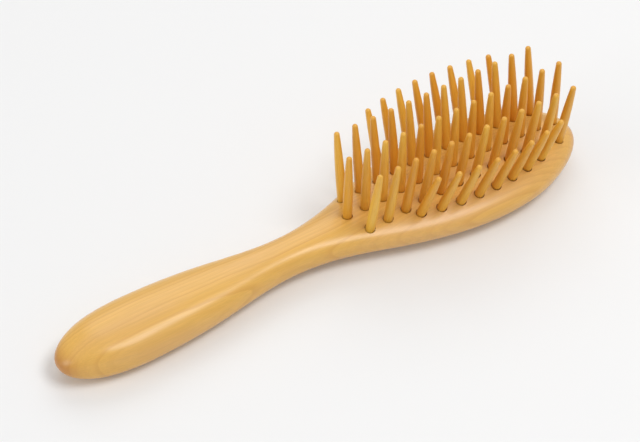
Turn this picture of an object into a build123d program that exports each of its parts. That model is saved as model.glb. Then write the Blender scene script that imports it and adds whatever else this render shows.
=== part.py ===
from build123d import *
import math
import os

# A solid wooden hair brush: one carved body with 53 turned wooden pins glued into blind sockets.
# Millimetres. +X runs from the handle to the tip of the head, +Y to the left seen from the handle,
# and +Z from the back to the pins. The brush lies on its back: z = 0 is the flat of the back, and
# the origin is under the middle of the whole brush.

# Pin field
PIN_PITCH = 7.5            # from one pin to the next, in every row
MIDDLE_PINS = 13           # on the centre line
INNER_PINS = 12            # in each inner row
OUTER_PINS = 8             # in each outer row
OUTER_ROW_SHIFT = 3.75     # from the middle pin to the outer rows' centre, towards the tip
INNER_ROW_OFFSET = 8.45    # from the centre line to an inner row, on the face
OUTER_ROW_OFFSET = 15.9    # from the centre line to an outer row, at its widest
OUTER_ROW_RADIUS = 97.0    # the outer rows follow this arc, inwards at both ends
INNER_LEAN = 9.0           # degrees outwards
OUTER_LEAN = 20.4
MIDDLE_TIP_HEIGHT = 25.8   # from the middle of the face up to the pins' tips, row by row
INNER_TIP_HEIGHT = 25.5
OUTER_TIP_HEIGHT = 21.1

# One pin
PIN_RADIUS = 1.7
PIN_TIP_RADIUS = 1.0
TAPER_LENGTH = 22.0        # from the end of the straight shank to the rounded tip

# Sockets
SOCKET_DEPTH = 7.0         # along the pin, from the face to the socket's floor
MOUTH_DEPTH = 1.5          # the eased mouth above the glued length
MOUTH_GAP = 0.15           # round the pin in the mouth
GLUE_GAP = 0.05            # round the pin in the glued length

# Lengths of the body outside the pin field
HANDLE_LENGTH = 87.9       # from the butt to the narrowest place of the neck
NECK_MARGIN = 27.0         # from there to the middle row's first pin
TIP_MARGIN = 6.95          # from its last pin to the tip of the head

# Half widths of the body
GRIP_HALF_WIDTH = 12.8
HANDLE_HALF_WIDTH = 11.0   # between the grip and the neck
NECK_HALF_WIDTH = 7.2
RIM_MARGIN = 7.5           # from the outer row to the rim, at the widest place of the head
SHOULDERS = ((0.25, 0.414), (0.525, 0.722))  # shares of the way from the neck to the widest
# place, and of the head's half width there
TIP_SHARE = 0.823          # of the head's half width, close to the tip, before it is rounded

# Places where those widths and the heights below hold
BUTT_PLACE = 10.0          # from the butt
GRIP_PLACE = 32.0
HANDLE_PLACE = 58.0
WIDEST_PLACE = 8.0         # from the middle pin towards the tip
LAND_START = 22.5          # the head's flat back, from the widest place towards the neck
LAND_END = 11.25           # and towards the tip
TIP_PLACE = 12.0           # back from the tip
NOSE_PLACE = 4.0           # back from the tip

# Heights above the flat back, along the centre line (TOP, BACK) and the rim (RIM)
HEAD_THICKNESS = 15.9      # at the middle pin
FACE_RADIUS = 469.0        # the face's gentle arc along the brush
BUTT_TOP = 15.1
GRIP_TOP = 15.9
NECK_TOP = 13.9
GRIP_RIM = 7.3
NECK_RIM = 8.5
HEAD_RIM = 8.4
TIP_RIM = 8.1
BACK_CUT = 0.35            # how deep the planed flat goes into the rounded back
NECK_BACK = 1.9
TIP_BACK = 3.4

# Rounding
BUTT_ROUND = 30.0          # the length over which the width closes at the butt
BUTT_POWER = 2.1
BUTT_DOME = 16.0           # the length over which the thickness closes at the butt
TIP_ROUND = 35.0
TIP_POWER = 2.25
TIP_DOME = 11.0
DOME_POWER = 2.0
GRIP_SQUARENESS = 2.5      # power of the cross-section's upper half, where 2 is an ellipse
NECK_SQUARENESS = 2.3
HEAD_SQUARENESS = 2.0
BACK_SQUARENESS = 2.4      # power of its lower half
SECTIONS = 30              # spans between the cross-sections lofted into the body
HALF_POINTS = 12           # spans in one half of a cross-section

# Places along the brush, measured from the middle pin
FIELD_HALF = (MIDDLE_PINS - 1) / 2 * PIN_PITCH
NECK = -FIELD_HALF - NECK_MARGIN
BUTT = NECK - HANDLE_LENGTH
TIP = FIELD_HALF + TIP_MARGIN
MIDDLE_PIN_X = -(BUTT + TIP) / 2  # moves the origin under the middle of the brush
HEAD_HALF_WIDTH = OUTER_ROW_OFFSET + RIM_MARGIN


def smooth_curve(points):
    """Returns the natural cubic spline through (place, value) points, straight beyond them."""
    xs = [p[0] for p in points]
    ys = [p[1] for p in points]
    last = len(xs) - 1
    steps = [xs[i + 1] - xs[i] for i in range(last)]
    slopes = [(ys[i + 1] - ys[i]) / steps[i] for i in range(last)]
    bends = [0.0] * (last + 1)
    sweep = [0.0] * (last + 1)
    for i in range(1, last):
        pivot = 2 * (steps[i - 1] + steps[i]) - steps[i - 1] * sweep[i - 1]
        sweep[i] = steps[i] / pivot
        bends[i] = (6 * (slopes[i] - slopes[i - 1]) - steps[i - 1] * bends[i - 1]) / pivot
    for i in range(last - 1, 0, -1):
        bends[i] -= sweep[i] * bends[i + 1]

    def value(x):
        if x < xs[0]:
            return ys[0] + (slopes[0] - steps[0] * bends[1] / 6) * (x - xs[0])
        if x > xs[last]:
            return ys[last] + (slopes[-1] + steps[-1] * bends[last - 1] / 6) * (x - xs[last])
        i = max(k for k in range(last) if xs[k] <= x)
        a = (xs[i + 1] - x) / steps[i]
        b = 1 - a
        bend = (a**3 - a) * bends[i] + (b**3 - b) * bends[i + 1]
        return a * ys[i] + b * ys[i + 1] + bend * steps[i] ** 2 / 6

    return value


def closing(distance, length, power):
    """Returns the share, 0 at an end and 1 past the given length, that rounds the end off."""
    run = 1 - min(max(distance, 0.0), length) / length
    return (1 - run**power) ** (1 / power)


def face_line(x):
    """Returns the height of the pin face on the centre line, an arc along the brush."""
    return HEAD_THICKNESS - x * x / (2 * FACE_RADIUS)


half_width_line = smooth_curve(
    [
        (BUTT + BUTT_PLACE, GRIP_HALF_WIDTH),
        (BUTT + GRIP_PLACE, GRIP_HALF_WIDTH),
        (BUTT + HANDLE_PLACE, HANDLE_HALF_WIDTH),
        (NECK, NECK_HALF_WIDTH),
    ]
    + [
        (NECK + run * (WIDEST_PLACE - NECK), share * HEAD_HALF_WIDTH)
        for run, share in SHOULDERS
    ]
    + [
        (WIDEST_PLACE, HEAD_HALF_WIDTH),
        (TIP - TIP_PLACE, TIP_SHARE * HEAD_HALF_WIDTH),
    ]
)
top_line = smooth_curve(
    [
        (BUTT + BUTT_PLACE, BUTT_TOP),
        (BUTT + GRIP_PLACE, GRIP_TOP),
        (NECK, NECK_TOP),
        (-FIELD_HALF + PIN_PITCH, face_line(FIELD_HALF - PIN_PITCH)),
        (0, HEAD_THICKNESS),
        (FIELD_HALF, face_line(FIELD_HALF)),
    ]
)
rim_line = smooth_curve(
    [
        (BUTT + BUTT_PLACE, GRIP_RIM),
        (BUTT + GRIP_PLACE, GRIP_RIM),
        (NECK, NECK_RIM),
        (0, HEAD_RIM),
        (TIP - NOSE_PLACE, TIP_RIM),
    ]
)
back_line = smooth_curve(
    [
        (BUTT + BUTT_PLACE, 0),
        (BUTT + GRIP_PLACE, -BACK_CUT),
        (NECK, NECK_BACK),
        (WIDEST_PLACE - LAND_START, -BACK_CUT),
        (WIDEST_PLACE + LAND_END, -BACK_CUT),
        (TIP - NOSE_PLACE, TIP_BACK),
    ]
)
squareness_line = smooth_curve(
    [
        (BUTT, GRIP_SQUARENESS),
        (NECK, NECK_SQUARENESS),
        (0, HEAD_SQUARENESS),
        (TIP, HEAD_SQUARENESS),
    ]
)


def section_sizes(x):
    """Returns the half width, the rim's height, and the rises from it to the top and back."""
    from_butt = x - BUTT
    from_tip = TIP - x
    width = half_width_line(x)
    width *= closing(from_butt, BUTT_ROUND, BUTT_POWER) * closing(from_tip, TIP_ROUND, TIP_POWER)
    dome = closing(from_butt, BUTT_DOME, DOME_POWER) * closing(from_tip, TIP_DOME, DOME_POWER)
    rim = rim_line(x)
    return width, rim, dome * (top_line(x) - rim), dome * (rim - back_line(x))


def face_height(x, y):
    """Returns the height of the body's upper surface at a place on the face."""
    width, rim, rise, _ = section_sizes(x)
    power = squareness_line(x)
    return rim + rise * (1 - abs(y / width) ** power) ** (1 / power)


def half_section(x, side, reach, power):
    """Returns the half of a cross-section that bulges up (side 1) or down (side -1).

    Its points are even turns of a superellipse, and it meets the other half upright at the rim.
    """
    width = section_sizes(x)[0]
    rim = rim_line(x)
    points = []
    for k in range(HALF_POINTS + 1):
        turn = math.pi * k / HALF_POINTS
        across, up = math.cos(turn), math.sin(turn)
        out = (abs(across) ** power + abs(up) ** power) ** (-1 / power)
        points.append((x + MIDDLE_PIN_X, side * width * out * across, rim + side * reach * out * up))
    upright = (0, 0, side * math.pi * reach)
    return Edge.make_spline(
        points,
        tangents=[upright, (0, 0, -upright[2])],
        parameters=[k / HALF_POINTS for k in range(HALF_POINTS + 1)],
        scale=False,
    )


def section_wire(x):
    """Returns one closed cross-section of the body."""
    _, _, rise, drop = section_sizes(x)
    upper = half_section(x, 1, rise, squareness_line(x))
    lower = half_section(x, -1, drop, BACK_SQUARENESS)
    return Wire([upper, lower])


def carved_body():
    """Returns the body before it is drilled: lofted, then planed flat on its back."""
    ends = [Vertex(x + MIDDLE_PIN_X, 0, rim_line(x)) for x in (BUTT, TIP)]
    places = [
        BUTT + (TIP - BUTT) * (1 - math.cos(math.pi * k / SECTIONS)) / 2
        for k in range(1, SECTIONS)
    ]
    blank = Solid.make_loft([ends[0], *(section_wire(x) for x in places), ends[1]])
    above_back = Box(
        2 * (TIP - BUTT),
        4 * HEAD_HALF_WIDTH,
        2 * HEAD_THICKNESS,
        align=(Align.CENTER, Align.CENTER, Align.MIN),
    )
    return blank & above_back


def pin_places():
    """Returns each pin's name, its place on the face, its lean to +Y and its tip's height."""
    places = {}

    def add_row(name, count, shift, offset, lean, tip_height):
        for k in range(count):
            x = shift + (k - (count - 1) / 2) * PIN_PITCH
            places[f"{name}_{k + 1:02d}"] = (x, offset(x), lean, tip_height)

    def outer_offset(x):
        along = x - OUTER_ROW_SHIFT
        return OUTER_ROW_OFFSET - along * along / (2 * OUTER_ROW_RADIUS)

    add_row("pin_middle", MIDDLE_PINS, 0, lambda x: 0, 0, MIDDLE_TIP_HEIGHT)
    for side, sign in (("left", 1), ("right", -1)):
        add_row(
            f"pin_{side}_inner",
            INNER_PINS,
            0,
            lambda x: sign * INNER_ROW_OFFSET,
            sign * INNER_LEAN,
            INNER_TIP_HEIGHT,
        )
        add_row(
            f"pin_{side}_outer",
            OUTER_PINS,
            OUTER_ROW_SHIFT,
            lambda x: sign * outer_offset(x),
            sign * OUTER_LEAN,
            OUTER_TIP_HEIGHT,
        )
    return places


def pin_plane(x, y, lean):
    """Returns the plane on the face at a pin, with its normal along the pin."""
    tilt = math.radians(lean)
    return Plane(
        origin=(x + MIDDLE_PIN_X, y, face_height(x, y)),
        x_dir=(1, 0, 0),
        z_dir=(0, math.sin(tilt), math.cos(tilt)),
    )


def turned_pin(exposed):
    """Returns a pin standing on z = 0 with its shank below, for the given exposed length."""
    narrowing = PIN_RADIUS - PIN_TIP_RADIUS
    taper_radius = (TAPER_LENGTH**2 + narrowing**2) / (2 * narrowing)
    end_slope = math.asin(TAPER_LENGTH / taper_radius)
    tip_ball = PIN_TIP_RADIUS / math.cos(end_slope)
    taper_top = exposed - tip_ball * (1 - math.sin(end_slope))
    taper_start = taper_top - TAPER_LENGTH
    outline = Polyline(
        (0, exposed), (0, -SOCKET_DEPTH), (PIN_RADIUS, -SOCKET_DEPTH), (PIN_RADIUS, taper_start)
    )
    taper = TangentArc((PIN_RADIUS, taper_start), (PIN_TIP_RADIUS, taper_top), tangent=(0, 1))
    half_way = (end_slope + math.pi / 2) / 2
    cap = ThreePointArc(
        (PIN_TIP_RADIUS, taper_top),
        (
            tip_ball * math.cos(half_way),
            exposed - tip_ball * (1 - math.sin(half_way)),
        ),
        (0, exposed),
    )
    profile = make_face([*outline.edges(), taper, cap])
    return revolve(Plane.XZ * profile, Axis.Z)


def socket():
    """Returns the wood that one socket takes away, with its mouth at z = 0."""
    glued = Cylinder(
        PIN_RADIUS + GLUE_GAP,
        SOCKET_DEPTH,
        align=(Align.CENTER, Align.CENTER, Align.MAX),
    )
    mouth = Cylinder(
        PIN_RADIUS + MOUTH_GAP,
        MOUTH_DEPTH + SOCKET_DEPTH,
        align=(Align.CENTER, Align.CENTER, Align.MIN),
    )
    return glued + Pos(0, 0, -MOUTH_DEPTH) * mouth


def main():
    """Builds every piece and writes one STEP file for each."""
    os.makedirs("parts", exist_ok=True)
    pins = pin_places()
    sockets = []
    for name, (x, y, lean, tip_height) in pins.items():
        plane = pin_plane(x, y, lean)
        rise = HEAD_THICKNESS + tip_height - face_height(x, y)
        exposed = rise / math.cos(math.radians(lean))
        pin = plane * turned_pin(exposed)
        pin.label = name
        export_step(pin, f"parts/{name}.step")
        sockets.append(plane * socket())
    body = carved_body() - sockets
    body.label = "brush_body"
    export_step(body, "parts/brush_body.step")


main()
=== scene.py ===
"""A wooden hair brush: one carved, satin-finished body with turned wooden pins in its face.

Every length is in metres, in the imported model's own frame: +X runs from the handle to the tip of
the head, +Y to the left and +Z from the back to the pins. The brush lies on its back at z = 0.
Places along the brush are measured from its middle pin.
"""

import logging
import math
from collections.abc import Iterator, Sequence
from dataclasses import dataclass
from enum import Enum

import bpy
import numpy as np
from mathutils import Matrix, Vector


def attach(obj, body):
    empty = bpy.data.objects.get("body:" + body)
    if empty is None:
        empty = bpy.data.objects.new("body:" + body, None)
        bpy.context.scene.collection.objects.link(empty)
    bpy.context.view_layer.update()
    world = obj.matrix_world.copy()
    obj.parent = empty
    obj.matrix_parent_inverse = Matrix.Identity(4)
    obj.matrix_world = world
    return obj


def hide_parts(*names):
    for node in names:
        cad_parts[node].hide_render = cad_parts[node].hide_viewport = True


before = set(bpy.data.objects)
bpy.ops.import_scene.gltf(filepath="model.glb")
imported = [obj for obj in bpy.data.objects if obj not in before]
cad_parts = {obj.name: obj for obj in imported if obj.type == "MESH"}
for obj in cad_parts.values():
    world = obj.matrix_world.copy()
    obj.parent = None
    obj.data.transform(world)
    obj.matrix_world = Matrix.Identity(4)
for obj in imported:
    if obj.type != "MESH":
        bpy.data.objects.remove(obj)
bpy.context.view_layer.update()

MM = 0.001
BODY = "root"
log = logging.getLogger("hair_brush")

Colour = tuple[float, float, float]
Point = tuple[float, float, float]
Ramp = tuple[float, float, float, float]  # a range, and the range that it is carried to


# --- Lines and laws ---------------------------------------------------------------------------


@dataclass(frozen=True)
class FairLine:
    """A natural cubic spline through a few (place, value) points, straight beyond its ends."""

    points: tuple[tuple[float, float], ...]

    def __call__(self, places: np.ndarray) -> np.ndarray:
        """Reads the line.

        Args:
            places: Places along the brush.

        Returns:
            The line's value at each place.
        """
        xs, ys = np.array(self.points).T
        steps = np.diff(xs)
        slopes = np.diff(ys) / steps
        last = len(xs) - 1
        system = np.eye(last + 1)
        load = np.zeros(last + 1)
        for i in range(1, last):
            system[i, i - 1 : i + 2] = steps[i - 1], 2 * (steps[i - 1] + steps[i]), steps[i]
            load[i] = 6 * (slopes[i] - slopes[i - 1])
        bends = np.linalg.solve(system, load)
        span = np.clip(np.searchsorted(xs, places, side="right") - 1, 0, last - 1)
        b = (places - xs[span]) / steps[span]
        a = 1 - b
        bend = ((a**3 - a) * bends[span] + (b**3 - b) * bends[span + 1]) * steps[span] ** 2 / 6
        inside = a * ys[span] + b * ys[span + 1] + bend
        before = ys[0] + (slopes[0] - steps[0] * bends[1] / 6) * (places - xs[0])
        after = ys[-1] + (slopes[-1] + steps[-1] * bends[-2] / 6) * (places - xs[-1])
        return np.where(places < xs[0], before, np.where(places > xs[-1], after, inside))


def closing(distance: np.ndarray, length: float, power: float) -> np.ndarray:
    """Rounds an end off.

    Args:
        distance: Distances from the end.
        length: How far from the end the rounding reaches.
        power: How square the rounding is, where 2 is an ellipse.

    Returns:
        The share of the full size that is left, 0 at the end and 1 past the length.
    """
    run = 1 - np.clip(distance, 0, length) / length
    return (1 - run**power) ** (1 / power)


# --- Node trees -------------------------------------------------------------------------------


class NodeBench:
    """Adds nodes to one tree and wires them up, left to right."""

    SPACING = 190

    def __init__(self, tree: bpy.types.NodeTree) -> None:
        """Starts on an existing tree."""
        self.tree = tree

    def add(self, kind: str, inputs: dict | None = None, **settings: object) -> bpy.types.Node:
        """Adds one node.

        Args:
            kind: Blender's name for the node type.
            inputs: Values or sockets by input name or number.
            **settings: Properties of the node itself.

        Returns:
            The new node.
        """
        node = self.tree.nodes.new(kind)
        node.location = (self.SPACING * len(self.tree.nodes), 0)
        for name, value in settings.items():
            setattr(node, name, value)
        for key, value in (inputs or {}).items():
            if isinstance(value, bpy.types.NodeSocket):
                self.tree.links.new(value, node.inputs[key])
            else:
                node.inputs[key].default_value = value
        return node

    def math(self, operation: str, *values: object, clamp: bool = False) -> bpy.types.NodeSocket:
        """Adds one Math node and returns its result."""
        numbered = dict(enumerate(values))
        return self.add("ShaderNodeMath", numbered, operation=operation, use_clamp=clamp).outputs[0]

    def vector(self, operation: str, *values: object) -> bpy.types.NodeSocket:
        """Adds one Vector Math node and returns its first result."""
        return self.add("ShaderNodeVectorMath", dict(enumerate(values)), operation=operation).outputs[0]

    def scaled(self, vector: object, factor: object) -> bpy.types.NodeSocket:
        """Returns a vector times a number."""
        return self.add(
            "ShaderNodeVectorMath", {"Vector": vector, "Scale": factor}, operation="SCALE"
        ).outputs[0]

    def split(self, vector: object) -> bpy.types.NodeOutputs:
        """Returns a vector's three components."""
        return self.add("ShaderNodeSeparateXYZ", {0: vector}).outputs

    def joined(self, x: object, y: object, z: object) -> bpy.types.NodeSocket:
        """Returns the vector of three components."""
        return self.add("ShaderNodeCombineXYZ", {0: x, 1: y, 2: z}).outputs[0]

    def attribute(self, name: str, data_type: str = "FLOAT") -> bpy.types.NodeSocket:
        """Reads a named attribute in a geometry tree."""
        node = self.add("GeometryNodeInputNamedAttribute", data_type=data_type)
        node.inputs["Name"].default_value = name
        return node.outputs["Attribute"]

    def stored(
        self, geometry: object, name: str, value: object, data_type: str, domain: str = "POINT"
    ) -> bpy.types.NodeSocket:
        """Stores a named attribute and returns the geometry that carries it."""
        return self.add(
            "GeometryNodeStoreNamedAttribute",
            {"Geometry": geometry, "Name": name, "Value": value},
            data_type=data_type,
            domain=domain,
        ).outputs[0]

    def noise(self, place: object, scale: Point, detail: float, roughness: float) -> bpy.types.NodeSocket:
        """Returns noise stretched along the grain; scale is in cycles for each millimetre."""
        stretched = self.vector("MULTIPLY", place, scale)
        settings = {"Vector": stretched, "Scale": 1.0, "Detail": detail, "Roughness": roughness}
        return self.add("ShaderNodeTexNoise", settings).outputs["Fac"]

    def ranged(
        self, value: object, low: float, high: float, to_low: float, to_high: float
    ) -> bpy.types.NodeSocket:
        """Returns a value carried smoothly from one range to another."""
        return self.add(
            "ShaderNodeMapRange", {0: value, 1: low, 2: high, 3: to_low, 4: to_high},
            interpolation_type="SMOOTHSTEP",
        ).outputs[0]

    def mixed(self, share: object, first: object, second: object) -> bpy.types.NodeSocket:
        """Returns the mix of two colours."""
        colours = [(*c, 1.0) if isinstance(c, tuple) else c for c in (first, second)]
        return self.add(
            "ShaderNodeMix", {0: share, 6: colours[0], 7: colours[1]}, data_type="RGBA"
        ).outputs[2]

    def shader_attribute(self, name: str, output: str = "Fac") -> bpy.types.NodeSocket:
        """Reads a named attribute in a material."""
        return self.add("ShaderNodeAttribute", attribute_name=name).outputs[output]


class InputKind(Enum):
    """The sorts of input that a geometry tree here takes."""

    NUMBER = "NodeSocketFloat"
    COUNT = "NodeSocketInt"
    PIECE = "NodeSocketObject"
    FINISH = "NodeSocketMaterial"


def geometry_tree(name: str, inputs: dict[str, InputKind]) -> tuple[NodeBench, dict, object]:
    """Starts a geometry tree with a mesh in, a mesh out and named inputs.

    Args:
        name: The tree's name.
        inputs: The kind of each further input, by its name.

    Returns:
        The bench to build on, the inputs' sockets by name, and the output's socket.
    """
    tree = bpy.data.node_groups.new(name, "GeometryNodeTree")
    tree.interface.new_socket("Geometry", in_out="INPUT", socket_type="NodeSocketGeometry")
    for label, kind in inputs.items():
        tree.interface.new_socket(label, in_out="INPUT", socket_type=kind.value)
    tree.interface.new_socket("Geometry", in_out="OUTPUT", socket_type="NodeSocketGeometry")
    bench = NodeBench(tree)
    given = bench.add("NodeGroupInput")
    result = bench.add("NodeGroupOutput")
    return bench, {socket.name: socket for socket in given.outputs if socket.name}, result.inputs[0]


def finished_mesh(
    name: str, start: bpy.types.Mesh, tree: bpy.types.NodeTree, values: dict[str, object]
) -> bpy.types.Object:
    """Runs a geometry tree on a mesh and keeps only the plain mesh that it makes.

    Args:
        name: The new piece's name.
        start: The mesh that the tree starts from.
        tree: The geometry tree.
        values: The value of each of the tree's named inputs.

    Returns:
        The piece, at the origin, with no modifiers.
    """
    holder = bpy.data.objects.new(name + "_maker", start)
    bpy.context.scene.collection.objects.link(holder)
    maker = holder.modifiers.new("maker", "NODES")
    maker.node_group = tree
    for item in tree.interface.items_tree:
        if item.in_out == "INPUT" and item.name in values:
            maker[item.identifier] = values[item.name]
    graph = bpy.context.evaluated_depsgraph_get()
    made = holder.evaluated_get(graph)
    mesh = bpy.data.meshes.new_from_object(made, preserve_all_data_layers=True, depsgraph=graph)
    mesh.name = name
    bpy.data.objects.remove(holder)
    piece = bpy.data.objects.new(name, mesh)
    bpy.context.scene.collection.objects.link(piece)
    return piece


def helper_object(name: str, mesh: bpy.types.Mesh) -> bpy.types.Object:
    """Puts a mesh in the scene for a tree to read; it is removed before the end."""
    helper = bpy.data.objects.new(name, mesh)
    bpy.context.scene.collection.objects.link(helper)
    return helper


def point_mesh(name: str, places: np.ndarray, **values: np.ndarray) -> bpy.types.Mesh:
    """Makes a mesh of loose points that carry attributes.

    Args:
        name: The mesh's name.
        places: One row of x, y, z for each point.
        **values: Attributes by name, one number or one vector for each point.

    Returns:
        The mesh.
    """
    mesh = bpy.data.meshes.new(name)
    mesh.from_pydata([tuple(place) for place in places], [], [])
    for label, value in values.items():
        value = np.asarray(value, np.float32)
        kind, part = ("FLOAT", "value") if value.ndim == 1 else ("FLOAT_VECTOR", "vector")
        mesh.attributes.new(label, kind, "POINT").data.foreach_set(part, value.ravel())
    return mesh


def lathe(name: str, outline: Sequence[tuple[float, float]], around: int) -> bpy.types.Mesh:
    """Turns an outline about the Z axis into a closed mesh.

    Args:
        name: The mesh's name.
        outline: (radius, height) from the bottom pole to the top pole, whose radii are 0.
        around: Faces around the axis.

    Returns:
        The mesh, with its faces outwards.
    """
    turns = [2 * math.pi * k / around for k in range(around)]
    points = [(0.0, 0.0, outline[0][1])]
    for radius, height in outline[1:-1]:
        points += [(radius * math.cos(turn), radius * math.sin(turn), height) for turn in turns]
    points.append((0.0, 0.0, outline[-1][1]))
    top = len(points) - 1
    rings = len(outline) - 2
    faces = []
    for k in range(around):
        after = (k + 1) % around
        faces.append((0, 1 + after, 1 + k))
        for ring in range(rings - 1):
            low = 1 + ring * around
            high = low + around
            faces.append((low + k, low + after, high + after, high + k))
        last = 1 + (rings - 1) * around
        faces.append((last + k, last + after, top))
    mesh = bpy.data.meshes.new(name)
    mesh.from_pydata(points, [], faces)
    return mesh


# --- Finishes ---------------------------------------------------------------------------------


def new_material(name: str) -> tuple[bpy.types.Material, NodeBench, bpy.types.Node]:
    """Starts a material and returns it with its bench and its Principled shader."""
    material = bpy.data.materials.new(name)
    material.use_nodes = True
    bench = NodeBench(material.node_tree)
    return material, bench, material.node_tree.nodes["Principled BSDF"]


@dataclass(frozen=True)
class CarvedWood:
    """Satin-finished pale hardwood, cut from the solid, with its growth rings on edge."""

    name: str = "honey_hardwood"
    early: Colour = (0.76, 0.43, 0.094)
    late: Colour = (0.67, 0.345, 0.070)
    blush: Colour = (0.70, 0.40, 0.15)
    end_grain: Colour = (0.46, 0.16, 0.018)
    # painted shade: the socket walls are coloured far darker than the wood, for the shade in the gap round
    # each pin's foot, over the darker drilled end grain
    drilled: Colour = (0.34, 0.100, 0.020)
    pith: Point = (0.0, 86.0, -18.0)  # millimetres: where the growth rings have their middle
    ring_width: float = 1.55  # millimetres
    wave_reach: float = 6.0  # millimetres by which the rings wander over the whole brush
    ripple_reach: float = 1.3  # and over a few centimetres
    fibre_scale: Point = (0.05, 2.4, 2.4)  # cycles for each millimetre, along and across the grain
    pore_scale: Point = (0.22, 7.0, 7.0)
    cloud_scale: Point = (0.011, 0.07, 0.07)
    wave_scale: Point = (0.012, 0.03, 0.03)
    ripple_scale: Point = (0.05, 0.16, 0.16)
    fibre_ramp: Ramp = (0.3, 0.7, 0.55, 1.0)  # how far the fibre breaks up the late wood
    blush_ramp: Ramp = (0.42, 0.68, 0.0, 0.5)
    fleck_ramp: Ramp = (0.60, 0.74, 0.0, 0.22)
    tint_ramp: Ramp = (0.25, 0.75, 0.94, 1.05)
    end_ramp: Ramp = (0.35, 0.95, 0.0, 0.75)
    gloss_ramp: Ramp = (0.25, 0.75, 0.41, 0.32)
    rise_ramp: Ramp = (0.15, 0.86, 0.0, 1.0)  # early wood to late, through one ring
    fall_ramp: Ramp = (0.86, 1.0, 1.0, 0.0)  # and the sharp end of its year
    year_ramp: Ramp = (0.0, 1.0, 0.3, 1.0)
    rise_power: float = 1.6
    specular: float = 0.30
    relief: float = 0.06 * MM
    relief_strength: float = 0.22
    pore_relief: float = 0.5
    coat: float = 0.50
    coat_roughness: float = 0.26

    def material(self) -> bpy.types.Material:
        """Builds the material from object coordinates, in millimetres.

        Returns:
            The material.
        """
        material, bench, shader = new_material(self.name)
        place = bench.scaled(bench.add("ShaderNodeTexCoord").outputs["Object"], 1 / MM)
        rings = self._rings(bench, place)
        fibre = bench.noise(place, self.fibre_scale, detail=4.0, roughness=0.62)
        pores = bench.noise(place, self.pore_scale, detail=2.0, roughness=0.5)
        cloud = bench.noise(place, self.cloud_scale, detail=2.0, roughness=0.5)

        late_share = bench.math("MULTIPLY", rings, bench.ranged(fibre, *self.fibre_ramp))
        wood = bench.mixed(late_share, self.early, self.late)
        wood = bench.mixed(bench.ranged(cloud, *self.blush_ramp), wood, self.blush)
        wood = bench.mixed(bench.ranged(pores, *self.fleck_ramp), wood, self.late)
        tint = bench.ranged(fibre, *self.tint_ramp)
        wood = bench.add(
            "ShaderNodeMix", {6: wood, 7: bench.joined(tint, tint, tint), 0: 1.0},
            data_type="RGBA", blend_type="MULTIPLY",
        ).outputs[2]

        facing = bench.split(bench.add("ShaderNodeNewGeometry").outputs["Normal"])
        end = bench.math("ABSOLUTE", facing[0])
        wood = bench.mixed(bench.ranged(end, *self.end_ramp), wood, self.end_grain)
        # Socket walls: darker drilled end grain, deepened with painted shade for the gap round each pin's
        # foot.
        wood = bench.mixed(bench.shader_attribute("drilled"), wood, self.drilled)
        bench.tree.links.new(wood, shader.inputs["Base Color"])

        gloss = bench.ranged(fibre, *self.gloss_ramp)
        bench.tree.links.new(gloss, shader.inputs["Roughness"])
        relief = bench.math("ADD", bench.math("MULTIPLY", pores, self.pore_relief), fibre)
        bump = bench.add(
            "ShaderNodeBump",
            {"Strength": self.relief_strength, "Distance": self.relief, "Height": relief},
        )
        bench.tree.links.new(bump.outputs[0], shader.inputs["Normal"])
        shader.inputs["Coat Weight"].default_value = self.coat
        shader.inputs["Coat Roughness"].default_value = self.coat_roughness
        shader.inputs["Specular IOR Level"].default_value = self.specular
        return material

    def _rings(self, bench: NodeBench, place: object) -> bpy.types.NodeSocket:
        """Returns 0 in early wood and 1 in late wood, on wavy shells about the pith."""
        wave = bench.noise(place, self.wave_scale, detail=1.0, roughness=0.4)
        ripple = bench.noise(place, self.ripple_scale, detail=2.0, roughness=0.5)
        x, y, z = bench.split(bench.vector("SUBTRACT", place, self.pith))
        squares = bench.math("ADD", bench.math("MULTIPLY", y, y), bench.math("MULTIPLY", z, z))
        shell = bench.math("SQRT", squares)
        shell = bench.math("ADD", shell, bench.math("MULTIPLY", wave, self.wave_reach))
        shell = bench.math("ADD", shell, bench.math("MULTIPLY", ripple, self.ripple_reach))
        count = bench.math("DIVIDE", shell, self.ring_width)
        share = bench.math("FRACT", count)
        rise = bench.ranged(share, *self.rise_ramp)
        fall = bench.ranged(share, *self.fall_ramp)
        line = bench.math("MULTIPLY", bench.math("POWER", rise, self.rise_power), fall)
        year = bench.add("ShaderNodeTexWhiteNoise", {"W": bench.math("FLOOR", count)}, noise_dimensions="1D")
        strength = bench.ranged(year.outputs["Value"], *self.year_ramp)
        return bench.math("MULTIPLY", line, strength)


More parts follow.
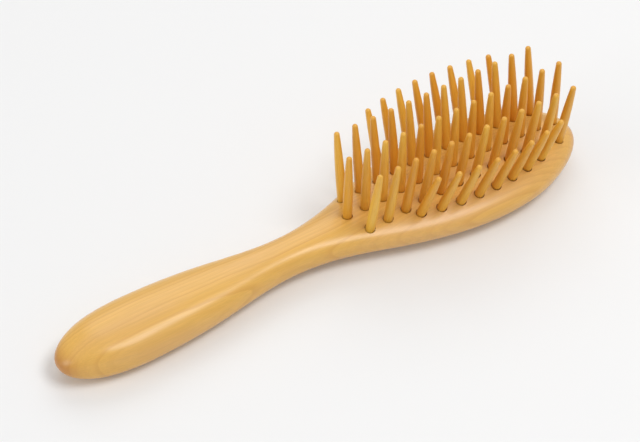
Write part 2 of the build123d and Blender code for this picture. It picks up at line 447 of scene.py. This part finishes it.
@dataclass(frozen=True)
class TurnedWood:
    """Waxed wood of the pins, golden to deep orange from one pin to the next."""

    name: str = "golden_pin_wood"
    light: Colour = (0.86, 0.52, 0.070)
    deep: Colour = (0.74, 0.34, 0.028)
    streak: Colour = (0.56, 0.21, 0.014)
    tip: Colour = (0.76, 0.38, 0.055)
    tip_ramp: Ramp = (0.1 * MM, 1.3 * MM, 0.5, 0.0)  # the darker end grain, down from the tip
    band_ramp: Ramp = (0.35, 0.7, 0.0, 0.35)
    streak_ramp: Ramp = (0.45, 0.75, 0.0, 0.4)
    gloss_ramp: Ramp = (0.3, 0.7, 0.47, 0.37)
    fibre_scale: Point = (2.6, 2.6, 0.09)  # cycles for each millimetre, across and along the grain
    band_scale: Point = (0.55, 0.55, 0.03)
    relief: float = 0.05 * MM
    relief_strength: float = 0.3
    coat: float = 0.12
    coat_roughness: float = 0.3

    def material(self) -> bpy.types.Material:
        """Builds the material from each pin's own coordinates.

        Returns:
            The material.
        """
        material, bench, shader = new_material(self.name)
        grain = bench.shader_attribute("grain", "Vector")
        tone = bench.shader_attribute("tone")
        below = bench.shader_attribute("below_tip")
        place = bench.scaled(grain, 1 / MM)
        fibre = bench.noise(place, self.fibre_scale, detail=3.0, roughness=0.6)
        bands = bench.noise(place, self.band_scale, detail=1.0, roughness=0.5)
        wood = bench.mixed(tone, self.light, self.deep)
        wood = bench.mixed(bench.ranged(bands, *self.band_ramp), wood, self.deep)
        wood = bench.mixed(bench.ranged(fibre, *self.streak_ramp), wood, self.streak)
        wood = bench.mixed(bench.ranged(below, *self.tip_ramp), wood, self.tip)
        bench.tree.links.new(wood, shader.inputs["Base Color"])
        gloss = bench.ranged(fibre, *self.gloss_ramp)
        bench.tree.links.new(gloss, shader.inputs["Roughness"])
        bump = bench.add(
            "ShaderNodeBump",
            {"Strength": self.relief_strength, "Distance": self.relief, "Height": fibre},
        )
        bench.tree.links.new(bump.outputs[0], shader.inputs["Normal"])
        shader.inputs["Coat Weight"].default_value = self.coat
        shader.inputs["Coat Roughness"].default_value = self.coat_roughness
        return material


@dataclass(frozen=True)
class PaleFloor:
    """Plain matt white of the lit table that the brush lies on."""

    name: str = "pale_floor"
    colour: Colour = (0.80, 0.80, 0.80)
    glow: float = 0.05
    roughness: float = 0.9
    specular: float = 0.1

    def material(self) -> bpy.types.Material:
        """Builds the material."""
        material, _, shader = new_material(self.name)
        shader.inputs["Base Color"].default_value = (*self.colour, 1.0)
        shader.inputs["Roughness"].default_value = self.roughness
        shader.inputs["Specular IOR Level"].default_value = self.specular
        shader.inputs["Emission Color"].default_value = (1.0, 1.0, 1.0, 1.0)
        shader.inputs["Emission Strength"].default_value = self.glow
        return material


# --- Pins -------------------------------------------------------------------------------------


class PinRow(Enum):
    """The five rows of pins, by the name that their nodes start with."""

    MIDDLE = "pin_middle"
    LEFT_INNER = "pin_left_inner"
    RIGHT_INNER = "pin_right_inner"
    LEFT_OUTER = "pin_left_outer"
    RIGHT_OUTER = "pin_right_outer"

    @property
    def side(self) -> int:
        """1 on the left, -1 on the right and 0 in the middle."""
        return 0 if self is PinRow.MIDDLE else 1 if "left" in self.value else -1


@dataclass(frozen=True)
class PinSpot:
    """Where one pin stands: its foot on the face, its direction and its exposed length."""

    node: str
    foot: Point
    axis: Point
    exposed: float


@dataclass(frozen=True)
class PinField:
    """The rows of pins, with the sizes of one pin and of the socket that holds it."""

    pitch: float = 7.5 * MM
    middle_count: int = 13
    inner_count: int = 12
    outer_count: int = 8
    outer_shift: float = 3.75 * MM
    inner_offset: float = 8.45 * MM
    outer_offset: float = 15.9 * MM
    outer_row_radius: float = 97.0 * MM
    inner_lean: float = 9.0  # degrees, outwards
    outer_lean: float = 20.4
    middle_tip: float = 25.8 * MM
    inner_tip: float = 25.5 * MM
    outer_tip: float = 21.1 * MM
    pin_radius: float = 1.7 * MM
    tip_radius: float = 1.0 * MM
    taper_length: float = 22.0 * MM
    socket_depth: float = 7.0 * MM
    mouth_depth: float = 1.5 * MM
    mouth_gap: float = 0.15 * MM
    glue_gap: float = 0.05 * MM
    mouth_ease: float = 0.06 * MM
    around: int = 30
    taper_rings: int = 14
    tip_rings: int = 9
    grain_step: Point = (0.31, 0.17, 0.53)  # how far the pattern may move from pin to pin
    seed: int = 7

    @property
    def half(self) -> float:
        """Half the middle row's length."""
        return (self.middle_count - 1) / 2 * self.pitch

    def row(self, row: PinRow) -> Iterator[tuple[str, float, float, float, float]]:
        """Lays out one row.

        Args:
            row: Which row.

        Yields:
            Each pin's node name, its place along and across, its lean to the left in degrees
            and its tip's height above the middle of the face.
        """
        inner = (self.inner_count, 0.0, self.inner_offset, self.inner_lean, self.inner_tip)
        outer = (self.outer_count, self.outer_shift, self.outer_offset, self.outer_lean, self.outer_tip)
        count, shift, offset, lean, tip = {
            PinRow.MIDDLE: (self.middle_count, 0.0, 0.0, 0.0, self.middle_tip),
            PinRow.LEFT_INNER: inner,
            PinRow.RIGHT_INNER: inner,
            PinRow.LEFT_OUTER: outer,
            PinRow.RIGHT_OUTER: outer,
        }[row]
        curved = row in (PinRow.LEFT_OUTER, PinRow.RIGHT_OUTER)
        for k in range(count):
            along = (k - (count - 1) / 2) * self.pitch
            across = offset - along * along / (2 * self.outer_row_radius) if curved else offset
            yield f"{row.value}_{k + 1:02d}", along + shift, row.side * across, row.side * lean, tip

    def spots(self, lines: "BodyLines") -> list[PinSpot]:
        """Stands every pin on the face.

        Args:
            lines: The lines of the body that they stand on.

        Returns:
            The spots, row by row.
        """
        found = []
        for row in PinRow:
            for node, along, across, lean, tip in self.row(row):
                foot_height = lines.face_height(along, across)
                tilt = math.radians(lean)
                exposed = (lines.thickness + tip - foot_height) / math.cos(tilt)
                foot = (along + lines.middle_pin, across, foot_height)
                found.append(PinSpot(node, foot, (0.0, math.sin(tilt), math.cos(tilt)), exposed))
        return found

    def spot_mesh(self, spots: Sequence[PinSpot]) -> bpy.types.Mesh:
        """Makes the loose points that the trees put pins and sockets on."""
        return point_mesh(
            "pin_spots",
            np.array([spot.foot for spot in spots]),
            axis=np.array([spot.axis for spot in spots]),
            exposed=np.array([spot.exposed for spot in spots]),
        )

    def pin_mesh(self, longest: float) -> bpy.types.Mesh:
        """Turns one pin that hangs from its tip at the origin.

        Args:
            longest: The whole length, from the tip to the end of the shank.

        Returns:
            A straight shank, a taper tangent to it and a ball tip, closed at both ends.
        """
        narrowing = self.pin_radius - self.tip_radius
        taper_radius = (self.taper_length**2 + narrowing**2) / (2 * narrowing)
        slope = math.asin(self.taper_length / taper_radius)
        ball = self.tip_radius / math.cos(slope)
        taper_top = -ball * (1 - math.sin(slope))
        outline = [(0.0, -longest), (self.pin_radius, -longest)]
        for k in range(self.taper_rings):
            turn = slope * k / self.taper_rings
            radius = self.pin_radius - taper_radius * (1 - math.cos(turn))
            outline.append((radius, taper_top - self.taper_length + taper_radius * math.sin(turn)))
        for k in range(self.tip_rings):
            turn = slope + (math.pi / 2 - slope) * k / self.tip_rings
            outline.append((ball * math.cos(turn), ball * (math.sin(turn) - 1)))
        outline.append((0.0, 0.0))
        return lathe("one_pin", outline, self.around)

    def cutter_mesh(self) -> bpy.types.Mesh:
        """Turns the wood that one socket takes away, with the face at z = 0."""
        bore = self.pin_radius + self.glue_gap
        mouth = self.pin_radius + self.mouth_gap
        above = self.pin_radius
        outline = [
            (0.0, -self.socket_depth),
            (bore, -self.socket_depth),
            (bore, -self.mouth_depth),
            (mouth, -self.mouth_depth),
            (mouth, -self.mouth_ease),
            (mouth + self.mouth_ease + above, above),
            (0.0, above),
        ]
        mesh = lathe("one_socket", outline, self.around)
        # Marks the socket walls, which the body's finish paints dark: drilled end grain and painted shade.
        walls = mesh.attributes.new("drilled", "FLOAT", "FACE")
        walls.data.foreach_set("value", np.ones(len(mesh.polygons), np.float32))
        return mesh

    def tree(self) -> bpy.types.NodeTree:
        """Builds the tree that plants one pin on every spot and makes it that pin's length."""
        kinds = {
            "One Pin": InputKind.PIECE,
            "Longest": InputKind.NUMBER,
            "Socket Depth": InputKind.NUMBER,
            "Tapered Length": InputKind.NUMBER,
            "Seed": InputKind.COUNT,
            "Finish": InputKind.FINISH,
        }
        bench, given, result = geometry_tree("planted_pins", kinds)
        axis = bench.attribute("axis", "FLOAT_VECTOR")
        exposed = bench.attribute("exposed")
        at_tips = bench.add(
            "GeometryNodeSetPosition",
            {"Geometry": given["Geometry"], "Offset": bench.scaled(axis, exposed)},
        ).outputs[0]
        tone = self._drawn(bench, given["Seed"])
        points = bench.stored(at_tips, "tone", tone, "FLOAT")
        shift = self._drawn(bench, bench.math("ADD", given["Seed"], 1))
        points = bench.stored(points, "shift", shift, "FLOAT")

        pin = bench.add("GeometryNodeObjectInfo", {"Object": given["One Pin"]}).outputs["Geometry"]
        local = bench.add("GeometryNodeInputPosition").outputs[0]
        pin = bench.stored(pin, "local", local, "FLOAT_VECTOR")
        turned = bench.add("FunctionNodeAlignRotationToVector", {"Vector": axis}, axis="Z").outputs[0]
        spin = bench.add(
            "FunctionNodeAxisAngleToRotation",
            {"Axis": (0.0, 0.0, 1.0), "Angle": bench.math("MULTIPLY", shift, 2 * math.pi)},
        ).outputs[0]
        turned = bench.add(
            "FunctionNodeRotateRotation", {0: turned, 1: spin}, rotation_space="LOCAL"
        ).outputs[0]
        planted = bench.add(
            "GeometryNodeInstanceOnPoints", {"Points": points, "Instance": pin, "Rotation": turned}
        ).outputs[0]
        solid = bench.add("GeometryNodeRealizeInstances", {0: planted}).outputs[0]

        below = bench.math("MULTIPLY", bench.split(bench.attribute("local", "FLOAT_VECTOR"))[2], -1.0)
        spare = bench.math(
            "SUBTRACT", given["Longest"], bench.math("ADD", exposed, given["Socket Depth"])
        )
        share = bench.math(
            "DIVIDE",
            bench.math("SUBTRACT", below, given["Tapered Length"]),
            bench.math("SUBTRACT", given["Longest"], given["Tapered Length"]),
            clamp=True,
        )
        lift = bench.scaled(axis, bench.math("MULTIPLY", spare, share))
        solid = bench.add("GeometryNodeSetPosition", {"Geometry": solid, "Offset": lift}).outputs[0]
        solid = bench.stored(solid, "below_tip", below, "FLOAT")
        offset = bench.scaled(bench.joined(*self.grain_step), bench.attribute("shift"))
        grain = bench.vector("ADD", bench.attribute("local", "FLOAT_VECTOR"), offset)
        solid = bench.stored(solid, "grain", grain, "FLOAT_VECTOR")
        solid = bench.add("GeometryNodeSetShadeSmooth", {0: solid}).outputs[0]
        solid = bench.add(
            "GeometryNodeSetMaterial", {"Geometry": solid, "Material": given["Finish"]}
        ).outputs[0]
        bench.tree.links.new(solid, result)
        return bench.tree

    @staticmethod
    def _drawn(bench: NodeBench, seed: object) -> bpy.types.NodeSocket:
        """Returns one random number from 0 to 1 for each pin, the same on every run."""
        return bench.add("FunctionNodeRandomValue", {"Seed": seed}, data_type="FLOAT").outputs[1]

    def build(self, spots: Sequence[PinSpot], finish: TurnedWood) -> bpy.types.Object:
        """Makes all the pins.

        Args:
            spots: Where they stand.
            finish: The pins' finish.

        Returns:
            One piece that stands for every pin node.
        """
        longest = max(spot.exposed for spot in spots) + self.socket_depth
        one_pin = helper_object("one_pin", self.pin_mesh(longest))
        values = {
            "One Pin": one_pin,
            "Longest": longest,
            "Socket Depth": self.socket_depth,
            "Tapered Length": self.taper_length + self.tip_radius,
            "Seed": self.seed,
            "Finish": finish.material(),
        }
        piece = finished_mesh("turned_pins", self.spot_mesh(spots), self.tree(), values)
        bpy.data.objects.remove(one_pin)
        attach(piece, BODY)
        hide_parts(*(spot.node for spot in spots))
        return piece


# --- Body -------------------------------------------------------------------------------------


@dataclass(frozen=True)
class BodyLines:
    """The lines of the carved body, from which every cross-section follows."""

    pins: PinField
    handle_length: float = 87.9 * MM
    neck_margin: float = 27.0 * MM
    tip_margin: float = 6.95 * MM
    grip_half_width: float = 12.8 * MM
    handle_half_width: float = 11.0 * MM
    neck_half_width: float = 7.2 * MM
    rim_margin: float = 7.5 * MM
    shoulders: tuple[tuple[float, float], ...] = ((0.25, 0.414), (0.525, 0.722))
    tip_share: float = 0.823
    butt_place: float = 10.0 * MM
    grip_place: float = 32.0 * MM
    handle_place: float = 58.0 * MM
    widest_place: float = 8.0 * MM
    land_start: float = 22.5 * MM
    land_end: float = 11.25 * MM
    tip_place: float = 12.0 * MM
    nose_place: float = 4.0 * MM
    thickness: float = 15.9 * MM
    face_radius: float = 469.0 * MM
    butt_top: float = 15.1 * MM
    grip_top: float = 15.9 * MM
    neck_top: float = 13.9 * MM
    grip_rim: float = 7.3 * MM
    neck_rim: float = 8.5 * MM
    head_rim: float = 8.4 * MM
    tip_rim: float = 8.1 * MM
    back_cut: float = 0.35 * MM
    neck_back: float = 1.9 * MM
    tip_back: float = 3.4 * MM
    butt_round: float = 30.0 * MM
    butt_power: float = 2.1
    butt_dome: float = 16.0 * MM
    tip_round: float = 35.0 * MM
    tip_power: float = 2.25
    tip_dome: float = 11.0 * MM
    dome_power: float = 2.0
    grip_squareness: float = 2.5
    neck_squareness: float = 2.3
    head_squareness: float = 2.0
    back_squareness: float = 2.4

    @property
    def neck(self) -> float:
        """The narrowest place."""
        return -self.pins.half - self.neck_margin

    @property
    def butt(self) -> float:
        """The end of the handle."""
        return self.neck - self.handle_length

    @property
    def tip(self) -> float:
        """The end of the head."""
        return self.pins.half + self.tip_margin

    @property
    def middle_pin(self) -> float:
        """The middle pin's X in the model's frame, whose origin is under the brush's middle."""
        return -(self.butt + self.tip) / 2

    @property
    def head_half_width(self) -> float:
        """Half the width of the head at its widest."""
        return self.pins.outer_offset + self.rim_margin

    def half_widths(self) -> FairLine:
        """Returns the line of half widths, before the ends are rounded."""
        run = self.widest_place - self.neck
        shoulders = tuple(
            (self.neck + share * run, width * self.head_half_width)
            for share, width in self.shoulders
        )
        return FairLine(
            (
                (self.butt + self.butt_place, self.grip_half_width),
                (self.butt + self.grip_place, self.grip_half_width),
                (self.butt + self.handle_place, self.handle_half_width),
                (self.neck, self.neck_half_width),
                *shoulders,
                (self.widest_place, self.head_half_width),
                (self.tip - self.tip_place, self.tip_share * self.head_half_width),
            )
        )

    def tops(self) -> FairLine:
        """Returns the line along the top, which is an arc through the pin field."""

        def face(place: float) -> float:
            """Returns the height of the pin field's arc."""
            return self.thickness - place * place / (2 * self.face_radius)

        first = -self.pins.half + self.pins.pitch
        return FairLine(
            (
                (self.butt + self.butt_place, self.butt_top),
                (self.butt + self.grip_place, self.grip_top),
                (self.neck, self.neck_top),
                (first, face(first)),
                (0.0, self.thickness),
                (self.pins.half, face(self.pins.half)),
            )
        )

    def rims(self) -> FairLine:
        """Returns the line of the widest level."""
        return FairLine(
            (
                (self.butt + self.butt_place, self.grip_rim),
                (self.butt + self.grip_place, self.grip_rim),
                (self.neck, self.neck_rim),
                (0.0, self.head_rim),
                (self.tip - self.nose_place, self.tip_rim),
            )
        )

    def backs(self) -> FairLine:
        """Returns the line along the back, before it is planed flat."""
        return FairLine(
            (
                (self.butt + self.butt_place, 0.0),
                (self.butt + self.grip_place, -self.back_cut),
                (self.neck, self.neck_back),
                (self.widest_place - self.land_start, -self.back_cut),
                (self.widest_place + self.land_end, -self.back_cut),
                (self.tip - self.nose_place, self.tip_back),
            )
        )

    def squarenesses(self) -> FairLine:
        """Returns the power of the cross-section's upper half."""
        return FairLine(
            (
                (self.butt, self.grip_squareness),
                (self.neck, self.neck_squareness),
                (0.0, self.head_squareness),
                (self.tip, self.head_squareness),
            )
        )

    def sections(self, places: np.ndarray) -> dict[str, np.ndarray]:
        """Works out the cross-sections.

        Args:
            places: Places along the brush.

        Returns:
            At each place the half width, the rim's height, the rise to the top, the drop to
            the back and the power of the upper half.
        """
        from_butt = places - self.butt
        from_tip = self.tip - places
        ends = closing(from_butt, self.butt_round, self.butt_power)
        ends = ends * closing(from_tip, self.tip_round, self.tip_power)
        dome = closing(from_butt, self.butt_dome, self.dome_power)
        dome = dome * closing(from_tip, self.tip_dome, self.dome_power)
        rim = self.rims()(places)
        return {
            "half_width": self.half_widths()(places) * ends,
            "rim": rim,
            "rise": dome * (self.tops()(places) - rim),
            "drop": dome * (rim - self.backs()(places)),
            "squareness": self.squarenesses()(places),
        }

    def face_height(self, along: float, across: float) -> float:
        """Returns the height of the body's upper surface at one place."""
        here = {name: values[0] for name, values in self.sections(np.array([along])).items()}
        power = here["squareness"]
        return here["rim"] + here["rise"] * (1 - abs(across / here["half_width"]) ** power) ** (1 / power)


@dataclass(frozen=True)
class BrushBody:
    """The carved body: handle, neck and head in one piece of wood, bored for the pins."""

    lines: BodyLines
    sections: int = 400
    around: int = 120
    crease: float = 35.0  # degrees, past which an edge stays sharp
    weld: float = 0.0004 * MM

    def spine(self) -> bpy.types.Mesh:
        """Makes the line of points along the rim's level that carries every section's sizes."""
        share = (1 - np.cos(np.pi * np.arange(self.sections + 1) / self.sections)) / 2
        places = self.lines.butt + (self.lines.tip - self.lines.butt) * share
        sizes = self.lines.sections(places)
        at = np.column_stack([places + self.lines.middle_pin, np.zeros_like(places), sizes["rim"]])
        return point_mesh(
            "body_spine",
            at,
            half_width=sizes["half_width"],
            rise=sizes["rise"],
            drop=sizes["drop"],
            squareness=sizes["squareness"],
        )

    def tree(self) -> bpy.types.NodeTree:
        """Builds the tree that skins the sections, planes the back and drills the sockets."""
        kinds = {
            "Around": InputKind.COUNT,
            "Back Squareness": InputKind.NUMBER,
            "Weld": InputKind.NUMBER,
            "Crease": InputKind.NUMBER,
            "Spots": InputKind.PIECE,
            "Socket": InputKind.PIECE,
            "Finish": InputKind.FINISH,
        }
        bench, given, result = geometry_tree("carved_body", kinds)
        skin = self._skin(bench, given)
        cutters = self._cutters(bench, given)
        drilled = bench.add(
            "GeometryNodeMeshBoolean", {"Mesh 1": skin, "Mesh 2": cutters},
            operation="DIFFERENCE", solver="EXACT",
        ).outputs["Mesh"]
        angle = bench.add("GeometryNodeInputMeshEdgeAngle").outputs["Unsigned Angle"]
        gentle = bench.add(
            "FunctionNodeCompare", {0: angle, 1: given["Crease"]}, data_type="FLOAT", operation="LESS_THAN"
        ).outputs[0]
        smooth = bench.add("GeometryNodeSetShadeSmooth", {0: drilled}, domain="FACE").outputs[0]
        smooth = bench.add(
            "GeometryNodeSetShadeSmooth", {0: smooth, 2: gentle}, domain="EDGE"
        ).outputs[0]
        dressed = bench.add(
            "GeometryNodeSetMaterial", {"Geometry": smooth, "Material": given["Finish"]}
        ).outputs[0]
        bench.tree.links.new(dressed, result)
        return bench.tree

    @staticmethod
    def _skin(bench: NodeBench, given: dict) -> bpy.types.NodeSocket:
        """Bends a grid round the spine, one row of points to each section."""
        count = bench.add("GeometryNodeAttributeDomainSize", {0: given["Geometry"]}).outputs[0]
        ring = bench.math("ADD", given["Around"], 1.0)
        grid = bench.add("GeometryNodeMeshGrid", {2: count, 3: ring}).outputs["Mesh"]
        index = bench.add("GeometryNodeInputIndex").outputs[0]
        station = bench.math("FLOOR", bench.math("DIVIDE", bench.math("ADD", index, 0.5), ring))
        step = bench.math("SUBTRACT", index, bench.math("MULTIPLY", station, ring))

        def at_station(value: object, data_type: str = "FLOAT") -> bpy.types.NodeSocket:
            """Reads a value of the spine at this point's section."""
            sample = bench.add("GeometryNodeSampleIndex", data_type=data_type, domain="POINT")
            bench.tree.links.new(given["Geometry"], sample.inputs[0])
            bench.tree.links.new(value, sample.inputs[1])
            bench.tree.links.new(station, sample.inputs[2])
            return sample.outputs[0]

        spine = bench.split(at_station(bench.add("GeometryNodeInputPosition").outputs[0], "FLOAT_VECTOR"))
        width = at_station(bench.attribute("half_width"))
        turn = bench.math("MULTIPLY", bench.math("DIVIDE", step, given["Around"]), 2 * math.pi)
        across = bench.math("COSINE", turn)
        upward = bench.math("SINE", turn)
        is_top = bench.math("GREATER_THAN", upward, 0.0)

        def by_half(top: object, back: object) -> bpy.types.NodeSocket:
            """Chooses between the upper half's value and the back's."""
            return bench.add("ShaderNodeMix", {0: is_top, 2: back, 3: top}, data_type="FLOAT").outputs[0]

        power = by_half(at_station(bench.attribute("squareness")), given["Back Squareness"])
        reach = by_half(at_station(bench.attribute("rise")), at_station(bench.attribute("drop")))
        bulge = bench.math("DIVIDE", 2.0, power)

        def rounded(value: object) -> bpy.types.NodeSocket:
            """Squares a sine or cosine off by the section's power."""
            size = bench.math("POWER", bench.math("ABSOLUTE", value), bulge)
            return bench.math("MULTIPLY", bench.math("SIGN", value), size)

        height = bench.math("ADD", spine[2], bench.math("MULTIPLY", reach, rounded(upward)))
        planed = bench.math("MAXIMUM", height, 0.0)
        place = bench.joined(spine[0], bench.math("MULTIPLY", width, rounded(across)), planed)
        bent = bench.add("GeometryNodeSetPosition", {"Geometry": grid, "Position": place}).outputs[0]
        closed = bench.add(
            "GeometryNodeMergeByDistance", {"Geometry": bent, "Distance": given["Weld"]}
        ).outputs[0]
        # The outer skin is no socket wall, so it gets none of the painted socket shade.
        return bench.stored(closed, "drilled", 0.0, "FLOAT", "FACE")

    @staticmethod
    def _cutters(bench: NodeBench, given: dict) -> bpy.types.NodeSocket:
        """Sets a socket's waste on every spot, turned to the pin's axis."""
        spots = bench.add("GeometryNodeObjectInfo", {"Object": given["Spots"]}).outputs["Geometry"]
        waste = bench.add("GeometryNodeObjectInfo", {"Object": given["Socket"]}).outputs["Geometry"]
        axis = bench.attribute("axis", "FLOAT_VECTOR")
        turned = bench.add("FunctionNodeAlignRotationToVector", {"Vector": axis}, axis="Z").outputs[0]
        placed = bench.add(
            "GeometryNodeInstanceOnPoints", {"Points": spots, "Instance": waste, "Rotation": turned}
        ).outputs[0]
        return bench.add("GeometryNodeRealizeInstances", {0: placed}).outputs[0]

    def build(self, spots: Sequence[PinSpot], finish: CarvedWood) -> bpy.types.Object:
        """Makes the body.

        Args:
            spots: Where the pins stand.
            finish: The body's finish.

        Returns:
            The piece that stands for the body's node.
        """
        places = helper_object("pin_spots", self.lines.pins.spot_mesh(spots))
        socket = helper_object("one_socket", self.lines.pins.cutter_mesh())
        values = {
            "Around": self.around,
            "Back Squareness": self.lines.back_squareness,
            "Weld": self.weld,
            "Crease": math.radians(self.crease),
            "Spots": places,
            "Socket": socket,
            "Finish": finish.material(),
        }
        piece = finished_mesh("carved_body", self.spine(), self.tree(), values)
        for helper in (places, socket):
            bpy.data.objects.remove(helper)
        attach(piece, BODY)
        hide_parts("brush_body")
        return piece


# --- Studio -----------------------------------------------------------------------------------


@dataclass(frozen=True)
class SoftBox:
    """One large soft light, aimed at the brush."""

    name: str
    towards: Point
    distance: float
    width: float
    height: float
    power: float

    def build(self, aim: Vector) -> bpy.types.Object:
        """Hangs the light and returns it."""
        lamp = bpy.data.lights.new(self.name, "AREA")
        lamp.shape = "RECTANGLE"
        lamp.size = self.width
        lamp.size_y = self.height
        lamp.energy = self.power
        light = bpy.data.objects.new(self.name, lamp)
        direction = Vector(self.towards).normalized()
        light.location = aim + direction * self.distance
        light.rotation_euler = direction.to_track_quat("Z", "Y").to_euler()
        bpy.context.scene.collection.objects.link(light)
        return light


@dataclass(frozen=True)
class Studio:
    """Pale floor, bright soft surroundings, softboxes and the camera."""

    floor: PaleFloor
    aim: Point = (2.34 * MM, 6.79 * MM, 9.75 * MM)
    azimuth: float = -35.21  # degrees, as are the next two
    elevation: float = 44.38
    roll: float = 1.30
    distance: float = 0.8015
    lens: float = 130.28  # millimetres, as is the sensor
    sensor: float = 36.0
    nearest: float = 10.0 * MM
    floor_half: float = 3.0
    floor_drop: float = 0.1 * MM  # keeps the floor clear of the flats that rest on it
    surround: float = 0.50
    lights: tuple[SoftBox, ...] = (
        SoftBox("key_softbox", (0.24, -0.37, 0.90), 1.3, 0.7, 0.45, 7.6),
        SoftBox("back_softbox", (0.41, 0.59, 0.70), 1.4, 1.2, 0.8, 5.0),
        SoftBox("left_softbox", (-0.95, 0.1, 0.35), 1.2, 0.6, 0.6, 3.0),
    )

    def build(self) -> None:
        """Makes the floor, the surroundings, the lights and the camera."""
        self._floor()
        self._surroundings()
        for light in self.lights:
            light.build(Vector(self.aim))
        self._camera()

    def _floor(self) -> None:
        """Lays the floor just under the brush."""
        mesh = bpy.data.meshes.new("floor")
        h = self.floor_half
        z = -self.floor_drop
        mesh.from_pydata([(-h, -h, z), (h, -h, z), (h, h, z), (-h, h, z)], [], [(0, 1, 2, 3)])
        mesh.materials.append(self.floor.material())
        floor = bpy.data.objects.new("floor", mesh)
        bpy.context.scene.collection.objects.link(floor)

    def _surroundings(self) -> None:
        """Lights the scene evenly from all round."""
        world = bpy.data.worlds.new("tent")
        world.use_nodes = True
        background = world.node_tree.nodes["Background"]
        background.inputs["Color"].default_value = (1.0, 1.0, 1.0, 1.0)
        background.inputs["Strength"].default_value = self.surround
        bpy.context.scene.world = world
        bpy.context.scene.view_settings.view_transform = "Standard"

    def _camera(self) -> None:
        """Sets the camera up at its angle, level but for a slight roll."""
        camera = bpy.data.cameras.new("camera")
        camera.lens = self.lens
        camera.sensor_width = self.sensor
        camera.clip_start = self.nearest
        holder = bpy.data.objects.new("camera", camera)
        turn, rise = math.radians(self.azimuth), math.radians(self.elevation)
        back = Vector((math.sin(turn) * math.cos(rise), -math.cos(turn) * math.cos(rise), math.sin(rise)))
        level = (-back).to_track_quat("-Z", "Y").to_matrix().to_4x4()
        tilted = level @ Matrix.Rotation(math.radians(self.roll), 4, "Z")
        holder.matrix_world = Matrix.Translation(Vector(self.aim) + back * self.distance) @ tilted
        bpy.context.scene.collection.objects.link(holder)
        bpy.context.scene.camera = holder


# --- The whole brush --------------------------------------------------------------------------


def report(piece: bpy.types.Object) -> None:
    """Logs what a finished piece measures."""
    corners = [Vector(corner) for corner in piece.bound_box]
    size = Vector(map(max, *corners)) - Vector(map(min, *corners))
    triangles = sum(len(face.vertices) - 2 for face in piece.data.polygons)
    log.info(
        "%s: %.1f x %.1f x %.1f mm, %d triangles", piece.name, *(side / MM for side in size), triangles
    )


def main() -> None:
    """Builds the brush and the studio, and reports each piece."""
    logging.basicConfig(level=logging.INFO, format="%(name)s: %(message)s")
    pins = PinField()
    lines = BodyLines(pins)
    spots = pins.spots(lines)
    report(BrushBody(lines).build(spots, CarvedWood()))
    report(pins.build(spots, TurnedWood()))
    Studio(PaleFloor()).build()


if __name__ == "__main__":
    main()
